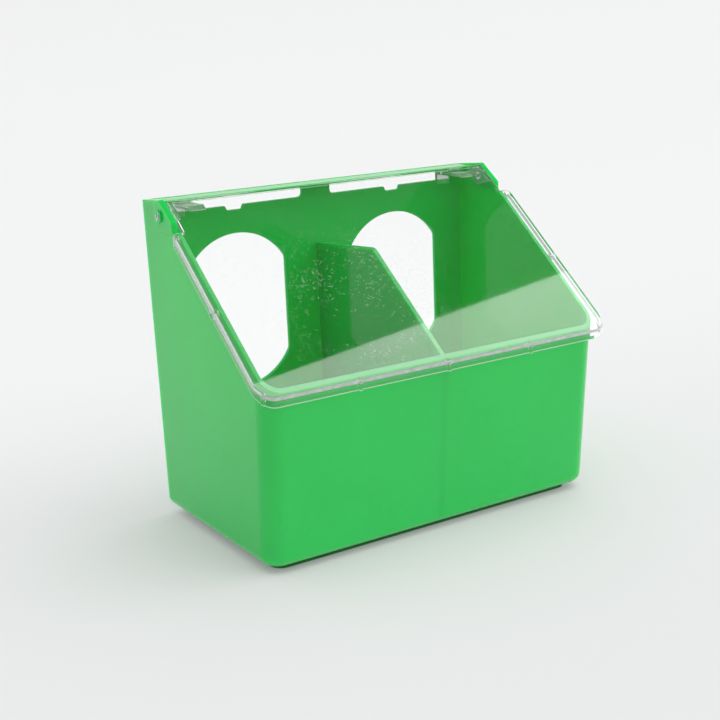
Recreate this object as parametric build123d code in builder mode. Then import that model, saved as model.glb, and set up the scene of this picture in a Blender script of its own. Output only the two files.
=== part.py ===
"""Two-compartment feeder box with a clear hinged lid, to hang on the outside of a cage or hutch.

Frame: +X to the right, the front wall faces -Y, +Z up, millimetres. The origin is the middle of the
outline seen from above, lid included, on the surface that the box stands on. The back wall is upright
and lies against the cage.
"""
import os
from math import atan2, cos, degrees, radians, sin, tan

from build123d import *

# Body: a tapered tub, higher at the back than at the front
body_width = 180.0        # across the side walls at the height of the roof
body_height = 151.2       # from the foot rim to the roof
body_depth = 105.8        # from the back face to the front face, at the front wall's rim
front_height = 81.2       # outer edge of the front wall's rim
wall = 2.0                # sides, front, back and floor
side_draft = 0.46         # degrees, each side wall
front_draft = 4.4         # degrees, front wall
corner_radius = 9.0       # upright front corners
base_radius = 5.0         # all round the underside

# Foot rim under the floor
foot_height = 3.0
foot_width = 2.0
foot_inset = 1.7          # from the inner end of the base rounding
foot_corner = 6.0

# Roof strip and the hinge ears beside it
roof_depth = 12.8
roof_thickness = 2.4
ear_length = 19.0         # from the back face to an ear's top corner
ear_rise = 1.5            # from the roof up to that corner
ear_front = 31.3          # from the back face to an ear's front edge
ear_front_drop = 7.3      # from the roof down to where an ear's sloping edge meets its front edge
notch_length = 3.5        # level step in front of an ear
notch_drop = 12.7         # from the roof down to that step

# Divider between the two compartments
divider_thickness = 2.2
divider_back_drop = 31.5  # below the roof, at the back wall
divider_crest_length = 51.4
divider_crest_drop = 1.9  # below the sloping rims, at the crest
divider_crest_radius = 6.0
divider_front_drop = 0.5  # below the rim, at the front wall

# Head openings in the back wall
opening_spacing = 89.8    # between their centre lines
opening_width = 51.6
opening_drop = 21.2       # from the roof down to the top of the arch
opening_arch_rise = 14.4
opening_bottom = 54.4
opening_bowl_drop = 15.3
opening_corner = 4.0

# Hanger slots in the back wall
slot_inner = 7.8          # from the middle of the box to a slot's inner end
slot_length = 74.2
slot_height = 5.0
slot_drop = 8.0           # from the roof down to a slot's lower edge
slot_radius = 2.0
notch_top_width = 10.2     # notch for a hook, below each slot
notch_bottom_width = 7.8
notch_depth = 2.2
recess_length = 9.0       # shallow recess below each slot's outer end, behind the lid's tab
recess_drop = 2.2
recess_depth = 1.0

# Hinge
hinge_length = 19.5       # from the back face to the hinge axis
hinge_drop = 5.6          # from the roof down to it
pad_rear = 13.4           # from the back face to the raised pad on each ear's outer face
pad_height = 0.9
pad_corner = 3.5
pad_draft = 20.0          # degrees, the pad's edges
boss_radius = 2.8         # ring round each hole, on the pad
boss_height = 1.0
pin_radius = 2.0
pin_clearance = 0.08      # radial, between a pin and its hole
pin_proud = 0.2           # beyond the ring
pin_chamfer = 0.3
pin_core_radius = 1.0     # blind core from the inner end of a pin
pin_core_depth = 4.4

# Lid
lid_thickness = 2.0
lid_gap = 0.3             # between the lid's underside and the rims
lid_side_gap = 2.1        # between the skirt and the side walls, at the ears
lid_front_gap = 1.6       # between the skirt and the front wall's rim
lid_rear = 3.0            # from the hinge axis back to the lid's rear edge, along the slope
lid_edge_radius = 0.7     # round the plate's upper edge
lid_rear_radius = 0.95    # both edges of the lid's rear end
skirt_thickness = 1.6
skirt_drop = 1.9          # below the lid's underside, measured upright
lid_front_radius = 8.0
lid_shoulder_radius = 3.0
shoulder_gap = 4.4        # between the lid's shoulders and the ears
ear_gap = 0.6             # between the lid and the inner faces of the ears
rib_width = 1.4           # locating ribs through the skirt
rib_proud = 0.4           # beyond the skirt's outer face
rib_clearance = 0.5       # between a rib and the wall behind it
rib_spacing = 46.0        # along the front
rib_length = 70.0         # from the back face to the rib on each side
rib_drop = 1.0            # from the lid's upper edge down to a rib
flange_thickness = 2.2
flange_rear = 7.4         # from the hinge axis along the slope, at a flange's lower edge
flange_front = 3.4
flange_shear = 4.8        # the upper edge lies this much further forward
flange_below = 3.2        # from the hinge axis to a flange's lower edge
flange_radius = 2.5
tab_width = 7.4
tab_offset = 75.0         # from the middle of the box to the middle of a tab
tab_thickness = 1.8
tab_reach = 16.5          # from the hinge axis back to a tab
tab_drop = 7.0
roof_gap = 0.5            # between the roof and the tabs under it

# Sizes that follow from those above
ear_front_height = body_height - ear_front_drop
notch_height = body_height - notch_drop
hinge_height = body_height - hinge_drop
slot_bottom = body_height - slot_drop
opening_top = body_height - opening_drop
slope_start = ear_front + notch_length
slope_angle = degrees(atan2(notch_height - front_height, body_depth - slope_start))
slope = tan(radians(slope_angle))
upright_gap = lid_gap / cos(radians(slope_angle))
upright_thickness = lid_thickness / cos(radians(slope_angle))
tub_height = body_height + ear_rise
roof_bottom = body_height - roof_thickness


def half_width(height):
    """Half the body's outer width at a height."""
    return body_width / 2 - (body_height - height) * tan(radians(side_draft))


def front_length(height):
    """Distance from the back face to the front wall's outer face at a height."""
    return body_depth - (front_height - height) * tan(radians(front_draft))


def rim_height(length):
    """Height of the sloping rims at a distance from the back face."""
    return notch_height - (length - slope_start) * slope


def slope_plane(height):
    """Plane parallel to the rims, at an upright distance above them."""
    return Plane(
        origin=(0, back_y - slope_start, notch_height + height),
        x_dir=(1, 0, 0),
        z_dir=(0, -sin(radians(slope_angle)), cos(radians(slope_angle))),
    )


base_depth = front_length(foot_height)
lid_front = front_length(front_height) + lid_front_gap + skirt_thickness
back_y = (lid_front + rib_proud) / 2
ear_inner = half_width(hinge_height) - wall
boss_face = half_width(hinge_height) + pad_height + boss_height
lid_half_width = half_width(notch_height) + lid_side_gap + skirt_thickness
lid_neck_half_width = ear_inner - ear_gap
lid_shoulder = ear_front + shoulder_gap

# Drawing planes: seen from the front, from the left side (x forward, y up) and along the slope
elevation = Plane.XZ.offset(-back_y)
profile = Plane(origin=(0, back_y, 0), x_dir=(0, -1, 0), z_dir=(-1, 0, 0))
hinge_profile = Plane(
    origin=(0, back_y - hinge_length, hinge_height),
    x_dir=(0, -cos(radians(slope_angle)), -sin(radians(slope_angle))),
    z_dir=(-1, 0, 0),
)
rim_above_hinge = (
    (notch_height - hinge_height) * cos(radians(slope_angle))
    + (slope_start - hinge_length) * sin(radians(slope_angle))
)


def tub(inset):
    """Tapered block with rounded front corners and base, inset from the outer faces."""
    low = foot_height + inset
    high = tub_height + inset
    with BuildPart() as block:
        with BuildSketch(elevation):
            with BuildLine():
                Polyline(
                    (inset - half_width(low), low),
                    (half_width(low) - inset, low),
                    (half_width(high) - inset, high),
                    (inset - half_width(high), high),
                    close=True,
                )
            make_face()
        extrude(amount=body_depth + body_height)
        with BuildSketch(profile):
            with BuildLine():
                Polyline(
                    (inset, low),
                    (front_length(low) - inset, low),
                    (front_length(high) - inset, high),
                    (inset, high),
                    close=True,
                )
            make_face()
        extrude(amount=body_width, both=True, mode=Mode.INTERSECT)
        upright = block.faces().sort_by(Axis.Y)[0].edges().filter_by(Axis.X, reverse=True)
        fillet(upright, radius=corner_radius - inset)
        fillet(block.faces().sort_by(Axis.Z)[0].edges(), radius=base_radius - inset)
    return block.part


tub_outside = tub(0)
tub_inside = tub(wall)

# Body: tapered tub
with BuildPart() as body:
    add(tub_outside)
    add(tub_inside, mode=Mode.SUBTRACT)

    # Pads on the outer faces of the ears
    for side in (-1, 1):
        with BuildSketch(profile.offset(-side * (half_width(hinge_height) - wall / 2))) as pad:
            with Locations((pad_rear, notch_height)):
                Rectangle(
                    slope_start - pad_rear,
                    tub_height - notch_height + wall / 2,
                    align=(Align.MIN, Align.MIN),
                )
            fillet(pad.vertices().group_by(Axis.Y)[0].sort_by(Axis.X)[0], radius=pad_corner)
        extrude(amount=-side * (pad_height + wall / 2), taper=pad_draft)

    # Rims: ears, notches and slopes
    with BuildSketch(profile):
        with BuildLine():
            Polyline(
                (-wall, body_height),
                (0, body_height),
                (ear_length, tub_height),
                (ear_front, ear_front_height),
                (ear_front, notch_height),
                (slope_start, notch_height),
                (body_depth + body_height, rim_height(body_depth + body_height)),
                (body_depth + body_height, tub_height + wall),
                (-wall, tub_height + wall),
                close=True,
            )
        make_face()
    extrude(amount=body_width, both=True, mode=Mode.SUBTRACT)

    # Roof strip
    with BuildSketch(profile):
        with Locations((0, roof_bottom)):
            Rectangle(roof_depth, roof_thickness, align=(Align.MIN, Align.MIN))
    extrude(amount=half_width(roof_bottom) - wall / 2, both=True)

    # Divider
    rim_length = front_length(front_height) - wall
    rim_level = rim_height(rim_length) - divider_front_drop
    sunk = wall / 4
    with BuildSketch(profile) as divider:
        with BuildLine():
            Polyline(
                (sunk, foot_height + base_radius),
                (base_radius, foot_height + sunk),
                (front_length(foot_height) - base_radius, foot_height + sunk),
                (front_length(foot_height + base_radius) - sunk, foot_height + base_radius),
                (rim_length + sunk, rim_level),
                (rim_length, rim_level),
                (divider_crest_length, rim_height(divider_crest_length) - divider_crest_drop),
                (sunk, body_height - divider_back_drop),
                close=True,
            )
        make_face()
        fillet(divider.vertices().sort_by(Axis.Y)[-1], radius=divider_crest_radius)
    extrude(amount=divider_thickness / 2, both=True)

    # Rings on the ears
    for side in (-1, 1):
        with BuildSketch(Plane.YZ.offset(side * boss_face)):
            with Locations((back_y - hinge_length, hinge_height)):
                Circle(boss_radius)
        extrude(amount=-side * (boss_height + pad_height + wall / 2))

    # Foot rim
    with BuildSketch(Plane((0, back_y - base_depth / 2, 0))):
        foot_reach = base_radius + foot_inset
        foot_size = (2 * (half_width(foot_height) - foot_reach), base_depth - 2 * foot_reach)
        RectangleRounded(*foot_size, radius=foot_corner)
        inner = (foot_size[0] - 2 * foot_width, foot_size[1] - 2 * foot_width)
        RectangleRounded(*inner, radius=foot_corner - foot_width, mode=Mode.SUBTRACT)
    extrude(amount=foot_height + wall / 2)

    # Head openings and hanger slots
    arch_base = opening_top - opening_arch_rise
    bowl_top = opening_bottom + opening_bowl_drop
    with BuildSketch(elevation) as cut:
        for side in (-1, 1):
            middle = side * opening_spacing / 2
            left = middle - opening_width / 2
            right = middle + opening_width / 2
            with BuildLine():
                ThreePointArc((left, arch_base), (middle, opening_top), (right, arch_base))
                Line((right, arch_base), (right, bowl_top))
                ThreePointArc((right, bowl_top), (middle, opening_bottom), (left, bowl_top))
                Line((left, bowl_top), (left, arch_base))
            make_face()
        fillet(cut.vertices(), radius=opening_corner)
    extrude(amount=2 * wall, mode=Mode.SUBTRACT)
    with BuildSketch(elevation):
        for side in (-1, 1):
            with Locations((side * (slot_inner + slot_length / 2), slot_bottom + slot_height / 2)):
                RectangleRounded(slot_length, slot_height, radius=slot_radius)
            middle = side * opening_spacing / 2
            with BuildLine():
                Polyline(
                    (middle - notch_top_width / 2, slot_bottom),
                    (middle - notch_bottom_width / 2, slot_bottom - notch_depth),
                    (middle + notch_bottom_width / 2, slot_bottom - notch_depth),
                    (middle + notch_top_width / 2, slot_bottom),
                    (middle, slot_bottom + slot_height / 2),
                    close=True,
                )
            make_face()
    extrude(amount=2 * wall, mode=Mode.SUBTRACT)
    with BuildSketch(elevation.offset(wall - recess_depth)):
        for side in (-1, 1):
            with Locations((side * (slot_inner + slot_length), slot_bottom - recess_drop)):
                Rectangle(
                    recess_length,
                    recess_drop + slot_height / 2,
                    align=(Align.MAX if side > 0 else Align.MIN, Align.MIN),
                )
    extrude(amount=2 * recess_depth, mode=Mode.SUBTRACT)

    # Hinge holes
    with BuildSketch(profile):
        with Locations((hinge_length, hinge_height)):
            Circle(pin_radius + pin_clearance)
    extrude(amount=body_width, both=True, mode=Mode.SUBTRACT)

# Space inside the skirt, open to the rear across the body
with BuildPart() as lid_hollow:
    with BuildSketch() as space:
        with Locations((0, back_y - lid_shoulder - skirt_thickness)):
            Rectangle(
                2 * (lid_half_width - skirt_thickness),
                lid_front - lid_shoulder - 2 * skirt_thickness,
                align=(Align.CENTER, Align.MAX),
            )
        with Locations((0, back_y - lid_shoulder)):
            Rectangle(2 * (half_width(notch_height) + rib_clearance), 4 * skirt_thickness)
        fillet(space.vertices().group_by(Axis.Y)[0], radius=lid_front_radius - skirt_thickness)
    extrude(amount=tub_height)
    split(bisect_by=slope_plane(upright_gap), keep=Keep.BOTTOM)

# Locating ribs: along the front, one on each side and one across each front corner
front_rib = rib_proud + skirt_thickness + lid_front_gap - rib_clearance
side_rib = rib_proud + skirt_thickness + lid_side_gap - rib_clearance
corner_x = lid_half_width - lid_front_radius * (1 - cos(radians(45)))
corner_y = back_y - lid_front + lid_front_radius * (1 - sin(radians(45)))
with BuildPart() as ribs:
    with BuildSketch():
        with Locations(*[(x, back_y - lid_front - rib_proud) for x in (-rib_spacing, 0, rib_spacing)]):
            Rectangle(rib_width, front_rib, align=(Align.CENTER, Align.MIN))
        for side in (-1, 1):
            with Locations(Location((side * (lid_half_width + rib_proud), back_y - rib_length), side * 90)):
                Rectangle(rib_width, side_rib, align=(Align.CENTER, Align.MIN))
            with Locations(Location((side * corner_x, corner_y), side * 45)):
                with Locations((0, -rib_proud)):
                    Rectangle(rib_width, front_rib, align=(Align.CENTER, Align.MIN))
    extrude(amount=tub_height)
    split(bisect_by=slope_plane(upright_gap + upright_thickness - rib_drop), keep=Keep.BOTTOM)
    split(bisect_by=slope_plane(upright_gap - skirt_drop), keep=Keep.TOP)

# Hinge pins
with BuildPart() as pins:
    for side in (-1, 1):
        with BuildSketch(hinge_profile.offset(-side * (lid_neck_half_width - flange_thickness / 2))):
            Circle(pin_radius)
        extrude(amount=-side * (boss_face + pin_proud - lid_neck_half_width + flange_thickness / 2))
    ends = pins.faces().sort_by(Axis.X)
    chamfer(ends[0].edges() + ends[-1].edges(), length=pin_chamfer)

# Lid
with BuildPart() as lid:
    # Outer block, cut parallel to the rims and hollowed
    with BuildSketch() as block:
        with Locations((0, back_y - lid_shoulder)):
            Rectangle(2 * lid_half_width, lid_front - lid_shoulder, align=(Align.CENTER, Align.MAX))
        fillet(block.vertices().group_by(Axis.Y)[0], radius=lid_front_radius)
        fillet(block.vertices().group_by(Axis.Y)[-1], radius=lid_shoulder_radius)
    extrude(amount=tub_height)
    split(bisect_by=slope_plane(upright_gap + upright_thickness), keep=Keep.BOTTOM)
    split(bisect_by=slope_plane(upright_gap - skirt_drop), keep=Keep.TOP)
    upper = lid.faces().filter_by(slope_plane(0)).sort_by(Axis.Z)[-1]
    fillet(upper.edges(), radius=lid_edge_radius)
    add(lid_hollow.part, mode=Mode.SUBTRACT)
    add(ribs.part)

    # Neck between the ears
    neck_end = (lid_shoulder - hinge_length + 2 * lid_thickness) / cos(radians(slope_angle))
    with BuildSketch(hinge_profile) as neck:
        with Locations((-lid_rear, rim_above_hinge + lid_gap)):
            Rectangle(lid_rear + neck_end, lid_thickness, align=(Align.MIN, Align.MIN))
        fillet(neck.vertices().group_by(Axis.X)[0], radius=lid_rear_radius)
    extrude(amount=lid_neck_half_width, both=True)

    # Hinge flanges with cored pins
    for side in (-1, 1):
        with BuildSketch(hinge_profile.offset(-side * (lid_neck_half_width - flange_thickness))) as flange:
            with BuildLine():
                Polyline(
                    (-flange_rear, -flange_below),
                    (flange_front, -flange_below),
                    (flange_front + flange_shear, rim_above_hinge + lid_gap),
                    (flange_front + flange_shear, rim_above_hinge + lid_gap + lid_thickness / 2),
                    (0, rim_above_hinge + lid_gap + lid_thickness / 2),
                    (flange_shear - flange_rear, rim_above_hinge + lid_gap),
                    close=True,
                )
            make_face()
            fillet(flange.vertices().group_by(Axis.Y)[0].sort_by(Axis.X)[-1], radius=flange_radius)
        extrude(amount=-side * flange_thickness)
    add(pins.part)
    for side in (-1, 1):
        with BuildSketch(hinge_profile.offset(-side * (lid_neck_half_width - flange_thickness))):
            Circle(pin_core_radius)
        extrude(amount=-side * pin_core_depth, mode=Mode.SUBTRACT)

    # Tabs under the roof
    tab_top = roof_bottom - roof_gap
    tab_rear = hinge_length - tab_reach
    mid_plate = notch_height + upright_gap + upright_thickness / 2
    for side in (-1, 1):
        with BuildSketch(profile.offset(-side * tab_offset)):
            with BuildLine():
                Polyline(
                    (tab_rear, tab_top),
                    (tab_rear, tab_top - tab_drop),
                    (tab_rear + tab_thickness, tab_top - tab_drop),
                    (tab_rear + tab_thickness, tab_top - tab_thickness),
                    (slope_start - (tab_top - tab_thickness - mid_plate) / slope, tab_top - tab_thickness),
                    (slope_start - (tab_top - mid_plate) / slope, tab_top),
                    close=True,
                )
            make_face()
        extrude(amount=tab_width / 2, both=True)
body.part.label = "box_body"
lid.part.label = "clear_lid"

os.makedirs("parts", exist_ok=True)
export_step(body.part, "parts/box_body.step")
export_step(lid.part, "parts/clear_lid.step")
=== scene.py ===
"""Looks of a two-compartment cage feeder box with a clear hinged lid.

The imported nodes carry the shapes. This file dresses them as moulded plastics, and sets the studio
and the camera around them. Lengths are in metres, in the part's own frame, unless a name ends
in _mm.
"""

import logging
from dataclasses import dataclass, field
from enum import Enum
from math import cos, pi, radians, sin

import bpy
from mathutils import Matrix, Vector

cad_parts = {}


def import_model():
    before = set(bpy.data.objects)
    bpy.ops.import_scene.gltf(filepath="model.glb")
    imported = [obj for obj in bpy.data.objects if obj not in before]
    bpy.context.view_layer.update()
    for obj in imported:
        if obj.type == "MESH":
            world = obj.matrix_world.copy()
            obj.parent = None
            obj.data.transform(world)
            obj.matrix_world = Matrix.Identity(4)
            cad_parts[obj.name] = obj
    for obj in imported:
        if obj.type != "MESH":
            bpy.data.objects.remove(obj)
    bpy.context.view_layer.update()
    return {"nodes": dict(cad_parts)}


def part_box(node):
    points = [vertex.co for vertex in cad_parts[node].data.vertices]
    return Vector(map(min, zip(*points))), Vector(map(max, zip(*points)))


LOG = logging.getLogger("feeder_box")
MM = 0.001

Socket = bpy.types.NodeSocket
Value = float | tuple[float, ...] | Socket


class Wear(Enum):
    """How much a surface has been handled: chance that a scratch is there, where it is rubbed."""

    SHELF = 0.3
    HANDLED = 0.9


class Seen(Enum):
    """Kinds of ray that see the room as a picture rather than as a light."""

    CAMERA = "Is Camera Ray"
    GLOSSY = "Is Glossy Ray"
    TRANSMISSION = "Is Transmission Ray"


def linear(hex_colour: str) -> tuple[float, float, float, float]:
    """Turns an sRGB hex colour into the linear values that shaders take.

    Args:
        hex_colour: Colour such as "#3fbe5f".

    Returns:
        Linear red, green, blue and an alpha of 1.
    """
    channels = [int(hex_colour[i : i + 2], 16) / 255 for i in (1, 3, 5)]
    curve = [c / 12.92 if c <= 0.04045 else ((c + 0.055) / 1.055) ** 2.4 for c in channels]
    return (*curve, 1.0)


def add_node(
    tree: bpy.types.NodeTree,
    kind: str,
    inputs: dict[str | int, Value] | None = None,
    **settings: object,
) -> bpy.types.ShaderNode:
    """Adds a shader node, sets it and links it.

    Args:
        tree: Node tree that gets the node.
        kind: Node type, such as "ShaderNodeMath".
        inputs: Value or source socket for each input, by its name or number.
        **settings: Properties of the node itself.

    Returns:
        The new node.
    """
    node = tree.nodes.new(kind)
    for name, value in settings.items():
        setattr(node, name, value)
    for key, value in (inputs or {}).items():
        if isinstance(value, Socket):
            tree.links.new(value, node.inputs[key])
        else:
            node.inputs[key].default_value = value
    return node


def empty_material(name: str) -> tuple[bpy.types.Material, bpy.types.NodeTree]:
    """Makes a material with an empty node tree.

    Args:
        name: Name of the real material and of how it was made.

    Returns:
        The material and its tree.
    """
    material = bpy.data.materials.new(name)
    material.use_nodes = True
    material.node_tree.nodes.clear()
    return material, material.node_tree


def seen_as_picture(tree: bpy.types.NodeTree) -> Socket:
    """Tells the rays that see the room as a picture from those that bring its light.

    Args:
        tree: Node tree that gets the nodes.

    Returns:
        Socket that is 1 for camera, glossy and transmission rays, and 0 for others.
    """
    rays = add_node(tree, "ShaderNodeLightPath")
    picture = rays.outputs[Seen.CAMERA.value]
    for kind in (Seen.GLOSSY, Seen.TRANSMISSION):
        picture = add_node(
            tree, "ShaderNodeMath", {0: picture, 1: rays.outputs[kind.value]}, operation="MAXIMUM"
        ).outputs[0]
    return picture


def past_turns(tree: bpy.types.NodeTree, turns: float) -> Socket:
    """Tells the rays that have already met more surfaces than a number.

    Args:
        tree: Node tree that gets the nodes.
        turns: Number of surfaces, and a half.

    Returns:
        Socket that is 1 for rays past it and 0 for the rest.
    """
    rays = add_node(tree, "ShaderNodeLightPath")
    return add_node(
        tree, "ShaderNodeMath", {0: rays.outputs["Ray Depth"], 1: turns}, operation="GREATER_THAN"
    ).outputs[0]


@dataclass(frozen=True)
class Scratches:
    """Short thin scratches that run much the same way along a face."""

    turn: float
    pitch_mm: float
    stretch: float
    width_mm: float = 0.1
    core: float = 0.3
    bend_pitch_mm: float = 2.5
    bend_mm: float = 0.9
    patch_mm: float = 22.0
    patch_from: float = 0.38
    patch_to: float = 0.6

    def draw(self, tree: bpy.types.NodeTree, place: Socket, lean: float, wear: Wear) -> Socket:
        """Draws the scratches, each as one stretched cell of a pattern.

        Args:
            tree: Node tree that gets the nodes.
            place: Object coordinates.
            lean: Lean of the face from level, about X, in degrees.
            wear: How much the surface has been handled.

        Returns:
            Socket that is 0 off a scratch, and up to 1 on a deep one.
        """
        # Scratches are never quite straight, so the pattern is bent before it is stretched
        bend = add_node(
            tree,
            "ShaderNodeTexNoise",
            {"Vector": place, "Scale": 1 / (self.bend_pitch_mm * MM), "Detail": 1.0},
        )
        centred = add_node(
            tree,
            "ShaderNodeVectorMath",
            {0: bend.outputs["Color"], 1: (0.5, 0.5, 0.5)},
            operation="SUBTRACT",
        )
        reach = self.bend_mm * MM
        bent = add_node(
            tree,
            "ShaderNodeVectorMath",
            {0: centred.outputs[0], 1: (reach, reach, reach), 2: place},
            operation="MULTIPLY_ADD",
        )
        turned = add_node(
            tree,
            "ShaderNodeMapping",
            {"Vector": bent.outputs[0], "Rotation": (radians(-lean), 0, radians(self.turn))},
        )
        drawn = add_node(
            tree,
            "ShaderNodeMapping",
            {"Vector": turned.outputs[0], "Scale": (1 / self.stretch, 1, 1)},
        )
        cells = add_node(
            tree,
            "ShaderNodeTexVoronoi",
            {"Vector": drawn.outputs[0], "Scale": 1 / (self.pitch_mm * MM)},
        )
        thin = add_node(
            tree,
            "ShaderNodeMapRange",
            {
                "Value": cells.outputs["Distance"],
                "From Min": self.width_mm / self.pitch_mm,
                "From Max": self.core * self.width_mm / self.pitch_mm,
            },
        )

        # They come in patches, and no two are as deep
        lot = add_node(tree, "ShaderNodeSeparateXYZ", {0: cells.outputs["Color"]})
        patches = add_node(
            tree,
            "ShaderNodeTexNoise",
            {"Vector": place, "Scale": 1 / (self.patch_mm * MM), "Detail": 3.0, "Roughness": 0.6},
        )
        rubbed = add_node(
            tree,
            "ShaderNodeMapRange",
            {"Value": patches.outputs[0], "From Min": self.patch_from, "From Max": self.patch_to},
        )
        chance = add_node(
            tree, "ShaderNodeMath", {0: rubbed.outputs[0], 1: wear.value}, operation="MULTIPLY"
        )
        kept = add_node(
            tree,
            "ShaderNodeMath",
            {0: lot.outputs["X"], 1: chance.outputs[0]},
            operation="LESS_THAN",
        )
        weight = add_node(
            tree, "ShaderNodeMath", {0: thin.outputs[0], 1: kept.outputs[0]}, operation="MULTIPLY"
        )
        return add_node(
            tree,
            "ShaderNodeMath",
            {0: weight.outputs[0], 1: lot.outputs["Y"]},
            operation="MULTIPLY",
            use_clamp=True,
        ).outputs[0]


@dataclass(frozen=True)
class MouldedGreen:
    """Injection-moulded green styrene: glossy, coloured right through, and a little translucent."""

    colour: str = "#22c459"
    deep_colour: str = "#1dbb52"
    roughness: float = 0.1
    ior: float = 1.55
    gloss: float = 0.46
    light_through: float = 0.85
    light_depth_mm: float = 8.0
    light_spread: tuple[float, float, float] = (0.25, 1.0, 0.4)
    edge_mm: float = 0.35
    sink_width_mm: float = 3.0
    sink_depth_mm: float = 0.08
    # Painted shade towards the bottom of the box
    under_shade_mm: float = 5.0
    under_shade_full: float = 0.4
    under_shade_colour: str = "#05561f"
    flow_mm: float = 42.0
    polish_mm: float = 1.4
    polish_depth_mm: float = 0.012
    polish_strength: float = 0.25
    scratches: Scratches = Scratches(turn=70, pitch_mm=1.1, stretch=20)
    scratch_lean: float = 90
    scratch_depth_mm: float = 0.02
    scratch_strength: float = 0.4
    scratch_roughness: float = 0.25
    wear: Wear = Wear.SHELF

    def material(self, front_y: float) -> bpy.types.Material:
        """Builds the material.

        Args:
            front_y: The front wall is where Y is below this.

        Returns:
            The finished material.
        """
        material, tree = empty_material("green_styrene_moulded")
        place = add_node(tree, "ShaderNodeTexCoord").outputs["Object"]

        # The melt cools unevenly as it flows, which gives broad, barely darker clouds
        flow = add_node(
            tree,
            "ShaderNodeTexNoise",
            {"Vector": place, "Scale": 1 / (self.flow_mm * MM), "Detail": 1.5},
        )
        tone = add_node(
            tree,
            "ShaderNodeMix",
            {"Factor": flow.outputs[0], 6: linear(self.colour), 7: linear(self.deep_colour)},
            data_type="RGBA",
        )

        # A polished tool still leaves a faint waviness that softens the edges of reflections, and
        # moulded edges are never quite sharp
        polish = add_node(
            tree,
            "ShaderNodeTexNoise",
            {"Vector": place, "Scale": 1 / (self.polish_mm * MM), "Detail": 2.0},
        )
        edge = add_node(tree, "ShaderNodeBevel", {"Radius": self.edge_mm * MM}, samples=6)
        wave = add_node(
            tree,
            "ShaderNodeBump",
            {
                "Height": polish.outputs[0],
                "Strength": self.polish_strength,
                "Distance": self.polish_depth_mm * MM,
                "Normal": edge.outputs[0],
            },
        )

        # The divider behind the front wall draws a shallow upright sink mark into it. Along the
        # sink the green is
        # also a little darker: painted shade, where the divider holds back light from behind
        parts = add_node(tree, "ShaderNodeSeparateXYZ", {0: place})
        across = add_node(tree, "ShaderNodeMath", {0: parts.outputs["X"]}, operation="ABSOLUTE")
        hollow = add_node(
            tree,
            "ShaderNodeMapRange",
            {
                "Value": across.outputs[0],
                "From Min": 0.0,
                "From Max": self.sink_width_mm * MM,
                "To Min": 1.0,
                "To Max": 0.0,
            },
            interpolation_type="SMOOTHSTEP",
        )
        ahead = add_node(
            tree, "ShaderNodeMath", {0: parts.outputs["Y"], 1: front_y}, operation="LESS_THAN"
        )
        sink = add_node(
            tree,
            "ShaderNodeMath",
            {0: hollow.outputs[0], 1: ahead.outputs[0]},
            operation="MULTIPLY",
        )
        dip = add_node(
            tree,
            "ShaderNodeBump",
            {
                "Height": sink.outputs[0],
                "Strength": 1.0,
                "Distance": self.sink_depth_mm * MM,
                "Normal": wave.outputs[0],
            },
            invert=True,
        )
        # Painted shade along the sink mark
        sink_shaded_tone = add_node(
            tree,
            "ShaderNodeMix",
            {"Factor": sink.outputs[0], 6: tone.outputs[2], 7: linear(self.deep_colour)},
            data_type="RGBA",
        )

        # Scratches from shelf and cage: shallow, and rougher than the skin round them
        fine = self.scratches.draw(tree, place, self.scratch_lean, self.wear)
        rough = add_node(
            tree,
            "ShaderNodeMapRange",
            {
                "Value": fine,
                "To Min": self.roughness,
                "To Max": self.roughness + self.scratch_roughness,
            },
        )
        scratch = add_node(
            tree,
            "ShaderNodeBump",
            {
                "Height": fine,
                "Strength": self.scratch_strength,
                "Distance": self.scratch_depth_mm * MM,
                "Normal": dip.outputs[0],
            },
            invert=True,
        )

        # Painted shade: the green turns darker towards the bottom, on the foot rim and the turn
        # under the base, where the box shades itself by the floor
        under_shade_mask = add_node(
            tree,
            "ShaderNodeMapRange",
            {
                "Value": parts.outputs["Z"],
                "From Min": self.under_shade_mm * MM,
                "From Max": self.under_shade_full * self.under_shade_mm * MM,
            },
            interpolation_type="SMOOTHSTEP",
        )
        deep = add_node(
            tree,
            "ShaderNodeMix",
            {"Factor": under_shade_mask.outputs[0], 6: sink_shaded_tone.outputs[2], 7: linear(self.under_shade_colour)},
            data_type="RGBA",
        )
        skin = add_node(
            tree,
            "ShaderNodeBsdfPrincipled",
            {
                "Base Color": deep.outputs[2],
                "Roughness": rough.outputs[0],
                "IOR": self.ior,
                "Specular IOR Level": self.gloss,
                "Subsurface Weight": self.light_through,
                "Subsurface Radius": self.light_spread,
                "Subsurface Scale": self.light_depth_mm * MM,
                "Normal": scratch.outputs[0],
            },
        )
        add_node(tree, "ShaderNodeOutputMaterial", {"Surface": skin.outputs[0]})
        return material


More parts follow.
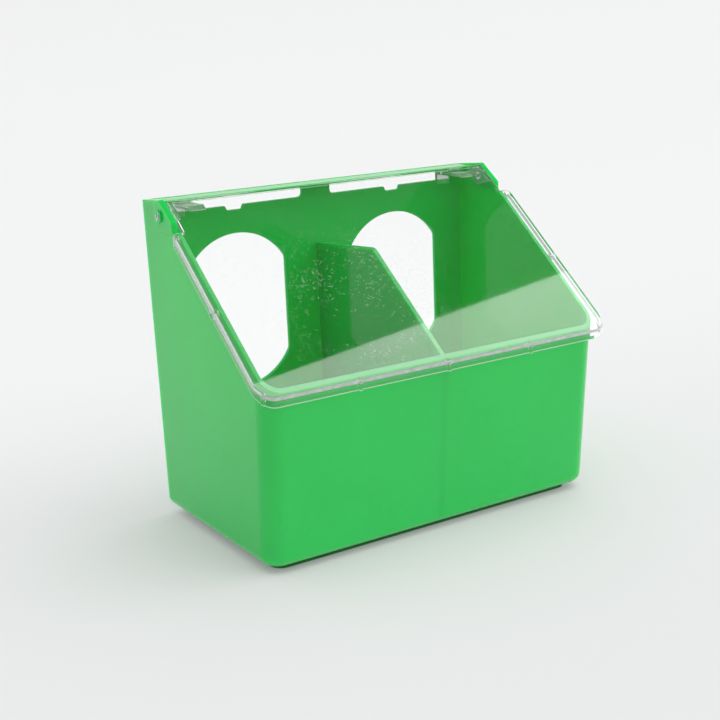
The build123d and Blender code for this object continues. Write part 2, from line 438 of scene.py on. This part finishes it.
@dataclass(frozen=True)
class ClearStyrene:
    """Injection-moulded clear styrene: bright, sharp reflections, and fine white scratches."""

    tint: str = "#fbfdfc"
    scuff_colour: str = "#dfe6e1"
    roughness: float = 0.018
    ior: float = 1.57
    haze: float = 0.75
    knuckle_haze: float = 0.14
    rubbed_middle: tuple[float, float, float] = (-0.022, -0.021, 0.108)
    rubbed_reach: float = 0.055
    rubbed_core: float = 0.4
    least_rubbed: float = 0.3
    plate_mm: float = 2.0
    plate_share: float = 0.55
    level_from: float = 0.96
    # Pale grey painted highlight on the plate's outer edge and the skirt's foot
    edge_highlight_colour: str = "#cbc9cc"
    edge_highlight_share: float = 0.75
    edge_from_mm: float = 0.75
    edge_fade_mm: float = 0.15
    streak_mm: float = 2.5
    streak_from: float = 0.3
    streak_to: float = 0.7
    streak_less: float = 0.15
    streak_more: float = 0.1
    foot_mm: float = -1.2
    foot_fade_mm: float = 0.1
    foot_highlight_share: float = 0.75
    smear_mm: float = 30.0
    smear_least: float = 0.5
    smear_most: float = 1.8
    scuffed_roughness: float = 0.6
    passing_tint: tuple[float, float, float, float] = (0.9, 0.91, 0.905, 1)
    turns: float = 3.5
    edge_mm: float = 0.7
    one_way: Scratches = Scratches(turn=35, pitch_mm=0.42, stretch=14)
    other_way: Scratches = Scratches(turn=-40, pitch_mm=0.48, stretch=11)
    wear: Wear = Wear.HANDLED

    def material(
        self, underside: tuple[float, float, float], plate_lean: float, shoulder_y: float
    ) -> bpy.types.Material:
        """Builds the material.

        Args:
            underside: Point in the plane of the plate's underside.
            plate_lean: Lean of the plate from level, about X, in degrees.
            shoulder_y: The skirt runs where Y is below this.

        Returns:
            The finished material.
        """
        material, tree = empty_material("clear_styrene_moulded")
        place = add_node(tree, "ShaderNodeTexCoord").outputs["Object"]

        # Scratches from wiping and stacking cross each other and scatter a little white
        one_way = self.one_way.draw(tree, place, plate_lean, self.wear)
        other_way = self.other_way.draw(tree, place, plate_lean, self.wear)
        both = add_node(tree, "ShaderNodeMath", {0: one_way, 1: other_way}, operation="MAXIMUM")

        # They show most in the middle of the lid, where a hand wipes it
        from_middle = add_node(
            tree, "ShaderNodeVectorMath", {0: place, 1: self.rubbed_middle}, operation="DISTANCE"
        )
        rub = add_node(
            tree,
            "ShaderNodeMapRange",
            {
                "Value": from_middle.outputs["Value"],
                "From Min": self.rubbed_reach,
                "From Max": self.rubbed_core * self.rubbed_reach,
                "To Min": self.least_rubbed * self.haze,
                "To Max": self.haze,
            },
            interpolation_type="SMOOTHSTEP",
        )
        marks = add_node(
            tree, "ShaderNodeMath", {0: both.outputs[0], 1: rub.outputs[0]}, operation="MULTIPLY"
        )

        # The plate's outer edge and the skirt's foot get a pale grey painted highlight, standing in
        # for the light their rounded edges catch. Their faces are found by height over the plate's
        # underside and by how they turn
        edge = add_node(tree, "ShaderNodeBevel", {"Radius": self.edge_mm * MM}, samples=8)
        lean, plate = radians(plate_lean), self.plate_mm * MM
        upward = (0, -sin(lean), cos(lean))
        above = add_node(
            tree, "ShaderNodeVectorMath", {0: place, 1: Vector(underside)}, operation="SUBTRACT"
        )
        height = add_node(
            tree, "ShaderNodeVectorMath", {0: above.outputs[0], 1: upward}, operation="DOT_PRODUCT"
        ).outputs["Value"]
        geometry = add_node(tree, "ShaderNodeNewGeometry")
        surface_side = geometry.outputs["Backfacing"]
        face = add_node(
            tree,
            "ShaderNodeVectorTransform",
            {0: geometry.outputs["True Normal"]},
            vector_type="NORMAL",
            convert_from="WORLD",
            convert_to="OBJECT",
        ).outputs[0]
        turned = add_node(
            tree, "ShaderNodeVectorMath", {0: face, 1: upward}, operation="DOT_PRODUCT"
        )
        level = add_node(
            tree, "ShaderNodeMath", {0: turned.outputs["Value"]}, operation="ABSOLUTE"
        )
        upright = add_node(
            tree, "ShaderNodeMath", {0: level.outputs[0], 1: self.level_from}, operation="LESS_THAN"
        )
        parts = add_node(tree, "ShaderNodeSeparateXYZ", {0: place})
        ahead = add_node(
            tree, "ShaderNodeMath", {0: parts.outputs["Y"], 1: shoulder_y}, operation="LESS_THAN"
        )
        outer = add_node(
            tree,
            "ShaderNodeMath",
            {0: upright.outputs[0], 1: ahead.outputs[0]},
            operation="MULTIPLY",
        )
        outward = add_node(
            tree, "ShaderNodeVectorMath", {0: face, 1: place}, operation="DOT_PRODUCT"
        )
        from_inside = add_node(
            tree, "ShaderNodeMath", {0: surface_side, 1: -2.0, 2: 1.0}, operation="MULTIPLY_ADD"
        )
        signed = add_node(
            tree,
            "ShaderNodeMath",
            {0: outward.outputs["Value"], 1: from_inside.outputs[0]},
            operation="MULTIPLY",
        )
        on_outside = add_node(
            tree, "ShaderNodeMath", {0: signed.outputs[0], 1: 0.0}, operation="GREATER_THAN"
        )
        rim = add_node(
            tree,
            "ShaderNodeMapRange",
            {
                "Value": height,
                "From Min": self.edge_from_mm * MM,
                "From Max": (self.edge_from_mm + self.edge_fade_mm) * MM,
            },
        )
        band = add_node(
            tree, "ShaderNodeMath", {0: outer.outputs[0], 1: rim.outputs[0]}, operation="MULTIPLY"
        )
        streaks = add_node(
            tree,
            "ShaderNodeTexNoise",
            {"Vector": place, "Scale": 1 / (self.streak_mm * MM), "Detail": 2.0},
        )
        uneven = add_node(
            tree,
            "ShaderNodeMapRange",
            {
                "Value": streaks.outputs[0],
                "From Min": self.streak_from,
                "From Max": self.streak_to,
                "To Min": self.edge_highlight_share - self.streak_less,
                "To Max": self.edge_highlight_share + self.streak_more,
            },
        )
        edge_highlight_band = add_node(
            tree, "ShaderNodeMath", {0: band.outputs[0], 1: uneven.outputs[0]}, operation="MULTIPLY"
        )
        low = add_node(
            tree,
            "ShaderNodeMapRange",
            {
                "Value": height,
                "From Min": self.foot_mm * MM,
                "From Max": (self.foot_mm - self.foot_fade_mm) * MM,
            },
        )
        low_outer = add_node(
            tree, "ShaderNodeMath", {0: outer.outputs[0], 1: low.outputs[0]}, operation="MULTIPLY"
        )
        foot_highlight_line = add_node(
            tree,
            "ShaderNodeMath",
            {0: low_outer.outputs[0], 1: on_outside.outputs[0]},
            operation="MULTIPLY",
        )
        highlight_lines = add_node(
            tree,
            "ShaderNodeMath",
            {0: foot_highlight_line.outputs[0], 1: self.foot_highlight_share, 2: edge_highlight_band.outputs[0]},
            operation="MULTIPLY_ADD",
        )

        # Pins, flanges and tabs are textured by the tool, so they look milky
        behind = add_node(
            tree, "ShaderNodeMath", {0: parts.outputs["Y"], 1: shoulder_y}, operation="GREATER_THAN"
        )
        off_plate = add_node(
            tree, "ShaderNodeMath", {0: height, 1: plate / 2}, operation="SUBTRACT"
        )
        away = add_node(tree, "ShaderNodeMath", {0: off_plate.outputs[0]}, operation="ABSOLUTE")
        clear_of_plate = add_node(
            tree,
            "ShaderNodeMath",
            {0: away.outputs[0], 1: self.plate_share * plate},
            operation="GREATER_THAN",
        )
        knuckle = add_node(
            tree,
            "ShaderNodeMath",
            {0: behind.outputs[0], 1: clear_of_plate.outputs[0]},
            operation="MULTIPLY",
        )
        milky_and_highlight = add_node(
            tree,
            "ShaderNodeMath",
            {0: knuckle.outputs[0], 1: self.knuckle_haze, 2: highlight_lines.outputs[0]},
            operation="MULTIPLY_ADD",
        )
        share = add_node(
            tree, "ShaderNodeMath", {0: marks.outputs[0], 1: milky_and_highlight.outputs[0]}, operation="MAXIMUM"
        )
        # Scratches take the scuff colour; the painted highlight on the edges takes a grey
        scuff_and_highlight_colour = add_node(
            tree,
            "ShaderNodeMix",
            {"Factor": band.outputs[0], 6: linear(self.scuff_colour), 7: linear(self.edge_highlight_colour)},
            data_type="RGBA",
        )

        # The skirt's foot is so narrow that the eye looks straight through it, and finger grease
        # leaves broad patches of the plate a little duller
        under = add_node(
            tree,
            "ShaderNodeMath",
            {0: level.outputs[0], 1: self.level_from},
            operation="GREATER_THAN",
        )
        narrow = add_node(
            tree, "ShaderNodeMath", {0: under.outputs[0], 1: low.outputs[0]}, operation="MULTIPLY"
        )
        foot = add_node(
            tree,
            "ShaderNodeMath",
            {0: narrow.outputs[0], 1: ahead.outputs[0]},
            operation="MULTIPLY",
        )
        smear = add_node(
            tree,
            "ShaderNodeTexNoise",
            {"Vector": place, "Scale": 1 / (self.smear_mm * MM), "Detail": 3.0},
        )
        rough = add_node(
            tree,
            "ShaderNodeMapRange",
            {
                "Value": smear.outputs[0],
                "To Min": self.roughness * self.smear_least,
                "To Max": self.roughness * self.smear_most,
            },
        )
        clear = add_node(
            tree,
            "ShaderNodeBsdfPrincipled",
            {
                "Base Color": linear(self.tint),
                "Roughness": rough.outputs[0],
                "IOR": self.ior,
                "Transmission Weight": 1.0,
                "Normal": edge.outputs[0],
            },
        )
        # One matt skin carries the white scratches, the milky pins and the painted highlight
        scuffed_and_highlight = add_node(
            tree,
            "ShaderNodeBsdfPrincipled",
            {"Base Color": scuff_and_highlight_colour.outputs[2], "Roughness": self.scuffed_roughness, "IOR": self.ior},
        )
        surface = add_node(
            tree,
            "ShaderNodeMixShader",
            {0: share.outputs[0], 1: clear.outputs[0], 2: scuffed_and_highlight.outputs[0]},
        )

        # Clear plastic throws almost no shadow: lamps and bounced light pass straight on, and so
        # does any ray that has already bounced often enough, inside it or elsewhere
        rays = add_node(tree, "ShaderNodeLightPath")
        lamps = add_node(
            tree,
            "ShaderNodeMath",
            {0: rays.outputs["Is Shadow Ray"], 1: rays.outputs["Is Diffuse Ray"]},
            operation="MAXIMUM",
        )
        free = add_node(
            tree,
            "ShaderNodeMath",
            {0: lamps.outputs[0], 1: past_turns(tree, self.turns)},
            operation="MAXIMUM",
        )
        passing = add_node(
            tree, "ShaderNodeMath", {0: free.outputs[0], 1: foot.outputs[0]}, operation="MAXIMUM"
        )
        through = add_node(tree, "ShaderNodeBsdfTransparent", {"Color": self.passing_tint})
        either = add_node(
            tree,
            "ShaderNodeMixShader",
            {0: passing.outputs[0], 1: surface.outputs[0], 2: through.outputs[0]},
        )
        add_node(tree, "ShaderNodeOutputMaterial", {"Surface": either.outputs[0]})
        return material


@dataclass(frozen=True)
class BackdropPaper:
    """Seamless white paper: matt, with a weak glow that lifts it and also lights what is on it."""

    colour: str = "#c8c8c8"
    roughness: float = 0.85
    near_lift: float = 0.17
    far_lift: float = 0.23
    through_share: float = 0.95
    lighting_share: float = 1.0
    turns: float = 2.5
    deep_light: float = 0.65
    viewer_side: tuple[float, float] = (-0.46, -1.0)
    shade_near: float = 0.29
    shade_far: float = 0.4
    shade_light: float = 0.25
    near_y: float = -0.2
    far_y: float = 0.35
    gloss: float = 0.1

    def material(self) -> bpy.types.Material:
        """Builds the material.

        Returns:
            The finished material.
        """
        material, tree = empty_material("white_paper_matt")
        place = add_node(tree, "ShaderNodeTexCoord").outputs["Object"]
        parts = add_node(tree, "ShaderNodeSeparateXYZ", {0: place})
        glow = add_node(
            tree,
            "ShaderNodeMapRange",
            {
                "Value": parts.outputs["Y"],
                "From Min": self.near_y,
                "From Max": self.far_y,
                "To Min": self.near_lift,
                "To Max": self.far_lift,
            },
            interpolation_type="SMOOTHSTEP",
        )

        # The glow counts more for what is seen through the lid and for the light on the feeder
        rays = add_node(tree, "ShaderNodeLightPath")
        through = add_node(
            tree,
            "ShaderNodeMath",
            {0: rays.outputs["Is Transmission Ray"], 1: self.through_share, 2: 1.0},
            operation="MULTIPLY_ADD",
        )
        share = add_node(
            tree,
            "ShaderNodeMath",
            {0: rays.outputs["Is Diffuse Ray"], 1: self.lighting_share, 2: through.outputs[0]},
            operation="MULTIPLY_ADD",
        )

        # The viewer stands in front, a little to the left, and shades the paper there for every
        # ray but the camera's own. So the shade also shows through the lid, and dims the light
        towards = add_node(
            tree,
            "ShaderNodeVectorMath",
            {0: place, 1: (*self.viewer_side, 0)},
            operation="DOT_PRODUCT",
        )
        shaded = add_node(
            tree,
            "ShaderNodeMapRange",
            {
                "Value": towards.outputs["Value"],
                "From Min": self.shade_near,
                "From Max": self.shade_far,
                "To Min": 1.0,
                "To Max": self.shade_light,
            },
            interpolation_type="SMOOTHSTEP",
        )
        shown = add_node(
            tree,
            "ShaderNodeMath",
            {0: shaded.outputs[0], 1: rays.outputs["Is Camera Ray"]},
            operation="MAXIMUM",
        )

        # Painted shade: rays that have already bounced three times or more see the paper as a light
        # grey
        deep_ray_dimming = add_node(
            tree,
            "ShaderNodeMapRange",
            {"Value": past_turns(tree, self.turns), "To Min": 1.0, "To Max": self.deep_light},
        )
        light = add_node(
            tree,
            "ShaderNodeMath",
            {0: shown.outputs[0], 1: deep_ray_dimming.outputs[0]},
            operation="MULTIPLY",
        )
        colour = add_node(
            tree,
            "ShaderNodeMix",
            {"Factor": light.outputs[0], 6: (0, 0, 0, 1), 7: linear(self.colour)},
            data_type="RGBA",
        )
        raised = add_node(
            tree, "ShaderNodeMath", {0: share.outputs[0], 1: glow.outputs[0]}, operation="MULTIPLY"
        )
        lift = add_node(
            tree,
            "ShaderNodeMath",
            {0: raised.outputs[0], 1: light.outputs[0]},
            operation="MULTIPLY",
        )
        paper = add_node(
            tree,
            "ShaderNodeBsdfPrincipled",
            {
                "Base Color": colour.outputs[2],
                "Roughness": self.roughness,
                "Specular IOR Level": self.gloss,
                "Emission Color": (1, 1, 1, 1),
                "Emission Strength": lift.outputs[0],
            },
        )
        add_node(tree, "ShaderNodeOutputMaterial", {"Surface": paper.outputs[0]})
        return material


def dress(piece: bpy.types.Object, material: bpy.types.Material) -> None:
    """Gives a piece one material in every slot.

    Args:
        piece: Object to dress.
        material: Material that it gets.
    """
    if not piece.data.materials:
        piece.data.materials.append(material)
    for i in range(len(piece.data.materials)):
        piece.data.materials[i] = material


@dataclass
class FeederBody:
    """The moulded box: tub, divider, roof strip, ears and foot rim, all one moulding."""

    node: bpy.types.Object
    front_reach: float = 12 * MM
    finish: MouldedGreen = field(default_factory=MouldedGreen)

    def dress(self) -> None:
        """Gives the box its plastic."""
        low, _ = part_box(self.node.name)
        dress(self.node, self.finish.material(low.y + self.front_reach))
        LOG.info("dressed %s", self.node.name)


@dataclass
class HingedLid:
    """The clear lid: sloping plate, skirt, ribs, flanges, pins and tabs, all one moulding."""

    node: bpy.types.Object
    underside: tuple[float, float, float] = (0.0, 0.0199, 0.138886)
    plate_lean: float = 38.905
    shoulder_y: float = 19.0 * MM
    finish: ClearStyrene = field(default_factory=ClearStyrene)

    def dress(self) -> None:
        """Gives the lid its plastic."""
        finish = self.finish.material(self.underside, self.plate_lean, self.shoulder_y)
        dress(self.node, finish)
        LOG.info("dressed %s", self.node.name)


@dataclass
class Studio:
    """Paper sweep, one soft box on the right and the room's soft white light."""

    sweep_width: float = 8.0
    sweep_depth: float = 4.0
    sweep_height: float = 4.0
    sweep_radius: float = 1.6
    sweep_steps: int = 24
    floor_tolerance: float = 1e-6
    lamp_height: float = 1.5
    lamp_edge: tuple[float, float] = (1.0, -0.1276)
    lamp_turn: float = 7.5
    lamp_size: tuple[float, float] = (1.6, 0.9)
    lamp_radiance: float = 2.3
    lamp_light: float = 1.0
    lamp_tint: tuple[float, float, float] = (1.0, 0.995, 0.985)
    room_light: float = 0.86
    bright_side: tuple[float, float, float] = (0.45, -0.75, 0.5)
    bright_side_light: float = 2.0
    far_side_light: float = 0.2
    camera_side: tuple[float, float, float] = (-0.53, -0.83, 0.15)
    camera_side_light: float = 0.4
    gap_light: float = 0.1
    seen_light: float = 0.85
    deep_light: float = 0.55
    deep_turns: float = 2.5
    room_tint: tuple[float, float, float, float] = (0.985, 0.99, 1.0, 1)
    seen_tint: tuple[float, float, float, float] = (0.99, 1.0, 1.0, 1)
    gap_tint: tuple[float, float, float, float] = (0.98, 0.99, 1.0, 1)
    gap_right: tuple[float, float, float, float] = (0.1, 0.3, 1.35, 1.7)
    gap_back: tuple[float, float, float, float] = (-0.5, -0.3, 0.35, 0.55)
    camera_side_from: float = 0.5
    camera_side_to: float = 0.95
    lowest_rise: float = 0.05

    def build_sweep(self) -> None:
        """Models the floor that curves up into the backdrop."""
        bpy.ops.object.select_all(action="DESELECT")
        bpy.ops.mesh.primitive_plane_add(size=1.0, location=(0, 0, 0))
        sweep = bpy.context.object
        sweep.name = "paper_sweep"
        bpy.ops.object.mode_set(mode="EDIT")
        bpy.ops.transform.resize(value=(self.sweep_width, 2 * self.sweep_depth, 1))
        bpy.ops.mesh.select_mode(type="EDGE")
        bpy.ops.mesh.select_all(action="DESELECT")
        bpy.ops.object.mode_set(mode="OBJECT")
        for edge in sweep.data.edges:
            ends = [sweep.data.vertices[i].co.y for i in edge.vertices]
            edge.select = min(ends) > 0
        bpy.ops.object.mode_set(mode="EDIT")
        bpy.ops.mesh.extrude_region_move(
            TRANSFORM_OT_translate={"value": (0, 0, self.sweep_height)}
        )
        bpy.ops.object.mode_set(mode="OBJECT")
        for edge in sweep.data.edges:
            ends = [sweep.data.vertices[i].co for i in edge.vertices]
            edge.select = all(e.y > 0 and abs(e.z) < self.floor_tolerance for e in ends)
        bpy.ops.object.mode_set(mode="EDIT")
        bpy.ops.mesh.bevel(offset=self.sweep_radius, segments=self.sweep_steps, affect="EDGES")
        bpy.ops.object.mode_set(mode="OBJECT")
        bpy.ops.object.shade_smooth()
        dress(sweep, BackdropPaper().material())
        LOG.info("built %s", sweep.name)

    def hang_lamp(self) -> None:
        """Hangs the soft box whose far edge the lid mirrors."""
        turn = radians(self.lamp_turn)
        across = Vector((sin(turn), -cos(turn), 0)) * (self.lamp_size[1] / 2)
        centre = Vector((*self.lamp_edge, self.lamp_height)) + across

        # Reflections show the first lamp; the second, less than half as bright, gives the light
        for name, radiance, mirrored in (
            ("soft_box_face", self.lamp_radiance, True),
            ("soft_box_light", self.lamp_light, False),
        ):
            data = bpy.data.lights.new(name, "AREA")
            data.shape = "RECTANGLE"
            data.size, data.size_y = self.lamp_size
            data.energy = radiance * pi * self.lamp_size[0] * self.lamp_size[1]
            data.color = self.lamp_tint
            lamp = bpy.data.objects.new(name, data)
            lamp.visible_glossy = mirrored
            lamp.visible_transmission = mirrored
            lamp.visible_diffuse = not mirrored
            lamp.matrix_world = Matrix.Translation(centre) @ Matrix.Rotation(turn, 4, "Z")
            bpy.context.scene.collection.objects.link(lamp)
            LOG.info("hung %s", lamp.name)

    def fill_room(self) -> None:
        """Surrounds the set with pale light, and shows reflections a dim gap past the soft box."""
        world = bpy.data.worlds.new("white_room")
        bpy.context.scene.world = world
        world.use_nodes = True
        tree = world.node_tree
        tree.nodes.clear()

        # Directions are told by how far they run to the right and to the back as they rise by one
        heading = add_node(tree, "ShaderNodeTexCoord").outputs["Generated"]
        parts = add_node(tree, "ShaderNodeSeparateXYZ", {0: heading})
        rise = add_node(
            tree,
            "ShaderNodeMath",
            {0: parts.outputs["Z"], 1: self.lowest_rise},
            operation="MAXIMUM",
        )
        right = add_node(
            tree, "ShaderNodeMath", {0: parts.outputs["X"], 1: rise.outputs[0]}, operation="DIVIDE"
        )
        back = add_node(
            tree, "ShaderNodeMath", {0: parts.outputs["Y"], 1: rise.outputs[0]}, operation="DIVIDE"
        )
        bounds = (
            (right, self.gap_right[0], self.gap_right[1]),
            (right, self.gap_right[3], self.gap_right[2]),
            (back, self.gap_back[0], self.gap_back[1]),
            (back, self.gap_back[3], self.gap_back[2]),
        )
        gap = None
        for source, outside, inside in bounds:
            step = add_node(
                tree,
                "ShaderNodeMapRange",
                {"Value": source.outputs[0], "From Min": outside, "From Max": inside},
                interpolation_type="SMOOTHSTEP",
            )
            if gap is None:
                gap = step
            else:
                gap = add_node(
                    tree,
                    "ShaderNodeMath",
                    {0: gap.outputs[0], 1: step.outputs[0]},
                    operation="MULTIPLY",
                )

        # Most light comes from the upper right of the front. The near left, where the viewer
        # stands, is dimmed
        towards = add_node(
            tree,
            "ShaderNodeVectorMath",
            {0: heading, 1: Vector(self.bright_side).normalized()},
            operation="DOT_PRODUCT",
        )
        sideways = add_node(
            tree,
            "ShaderNodeMapRange",
            {
                "Value": towards.outputs["Value"],
                "From Min": -1.0,
                "From Max": 1.0,
                "To Min": self.room_light * self.far_side_light,
                "To Max": self.room_light * self.bright_side_light,
            },
        )
        facing = add_node(
            tree,
            "ShaderNodeVectorMath",
            {0: heading, 1: Vector(self.camera_side).normalized()},
            operation="DOT_PRODUCT",
        )
        dark_side = add_node(
            tree,
            "ShaderNodeMapRange",
            {
                "Value": facing.outputs["Value"],
                "From Min": self.camera_side_from,
                "From Max": self.camera_side_to,
                "To Min": 1.0,
                "To Max": self.camera_side_light,
            },
            interpolation_type="SMOOTHSTEP",
        )
        light = add_node(
            tree,
            "ShaderNodeMath",
            {0: sideways.outputs[0], 1: dark_side.outputs[0]},
            operation="MULTIPLY",
        )

        # As a light the room leans to one side. Reflections and the lid show it more even and with
        # the gap in it, and the eye, past the paper, sees it plain
        lit = add_node(
            tree, "ShaderNodeBackground", {"Color": self.room_tint, "Strength": light.outputs[0]}
        )
        deep_ray_dimming = add_node(
            tree,
            "ShaderNodeMapRange",
            {
                "Value": past_turns(tree, self.deep_turns),
                "To Min": self.seen_light,
                "To Max": self.deep_light,
            },
        )
        seen_strength = add_node(
            tree,
            "ShaderNodeMath",
            {0: dark_side.outputs[0], 1: deep_ray_dimming.outputs[0]},
            operation="MULTIPLY",
        )
        seen = add_node(
            tree,
            "ShaderNodeBackground",
            {"Color": self.seen_tint, "Strength": seen_strength.outputs[0]},
        )
        dim = add_node(
            tree, "ShaderNodeBackground", {"Color": self.gap_tint, "Strength": self.gap_light}
        )
        mirrored = add_node(
            tree, "ShaderNodeMixShader", {0: gap.outputs[0], 1: seen.outputs[0], 2: dim.outputs[0]}
        )
        room = add_node(
            tree,
            "ShaderNodeMixShader",
            {0: seen_as_picture(tree), 1: lit.outputs[0], 2: mirrored.outputs[0]},
        )
        plain = add_node(
            tree, "ShaderNodeBackground", {"Color": self.seen_tint, "Strength": self.seen_light}
        )
        rays = add_node(tree, "ShaderNodeLightPath")
        shown = add_node(
            tree,
            "ShaderNodeMixShader",
            {0: rays.outputs["Is Camera Ray"], 1: room.outputs[0], 2: plain.outputs[0]},
        )
        add_node(tree, "ShaderNodeOutputWorld", {"Surface": shown.outputs[0]})
        LOG.info("lit %s", world.name)


@dataclass
class ViewCamera:
    """Camera on the left of the front, a little above the lid."""

    place: tuple[float, float, float] = (-0.320114, -0.487570, 0.225732)
    heading: float = 0.564270
    dip: float = 0.258839
    roll: float = -0.041640
    lens_mm: float = 64.109
    sensor_mm: float = 36.0
    clip_near: float = 0.01
    clip_far: float = 50

    def build(self) -> None:
        """Makes the camera and sets it as the scene's own."""
        ahead = Vector(
            (sin(self.heading) * cos(self.dip), cos(self.heading) * cos(self.dip), -sin(self.dip))
        )
        level = Vector((cos(self.heading), -sin(self.heading), 0))
        upright = level.cross(ahead)
        right = cos(self.roll) * level + sin(self.roll) * upright
        up = -sin(self.roll) * level + cos(self.roll) * upright
        data = bpy.data.cameras.new("camera")
        data.lens = self.lens_mm
        data.sensor_width = self.sensor_mm
        data.clip_start = self.clip_near
        data.clip_end = self.clip_far
        camera = bpy.data.objects.new("camera", data)
        turn = Matrix((right, up, -ahead)).transposed().to_4x4()
        camera.matrix_world = Matrix.Translation(Vector(self.place)) @ turn
        bpy.context.scene.collection.objects.link(camera)
        bpy.context.scene.camera = camera
        LOG.info("set %s", camera.name)


def main() -> None:
    """Builds the camera, the studio and the feeder's looks, in that order."""
    logging.basicConfig(level=logging.INFO, format="%(name)s: %(message)s")
    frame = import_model()
    bpy.context.scene.view_settings.view_transform = "Standard"
    ViewCamera().build()
    studio = Studio()
    studio.build_sweep()
    studio.hang_lamp()
    studio.fill_room()
    FeederBody(frame["nodes"]["box_body"]).dress()
    HingedLid(frame["nodes"]["clear_lid"]).dress()


if __name__ == "__main__":
    main()
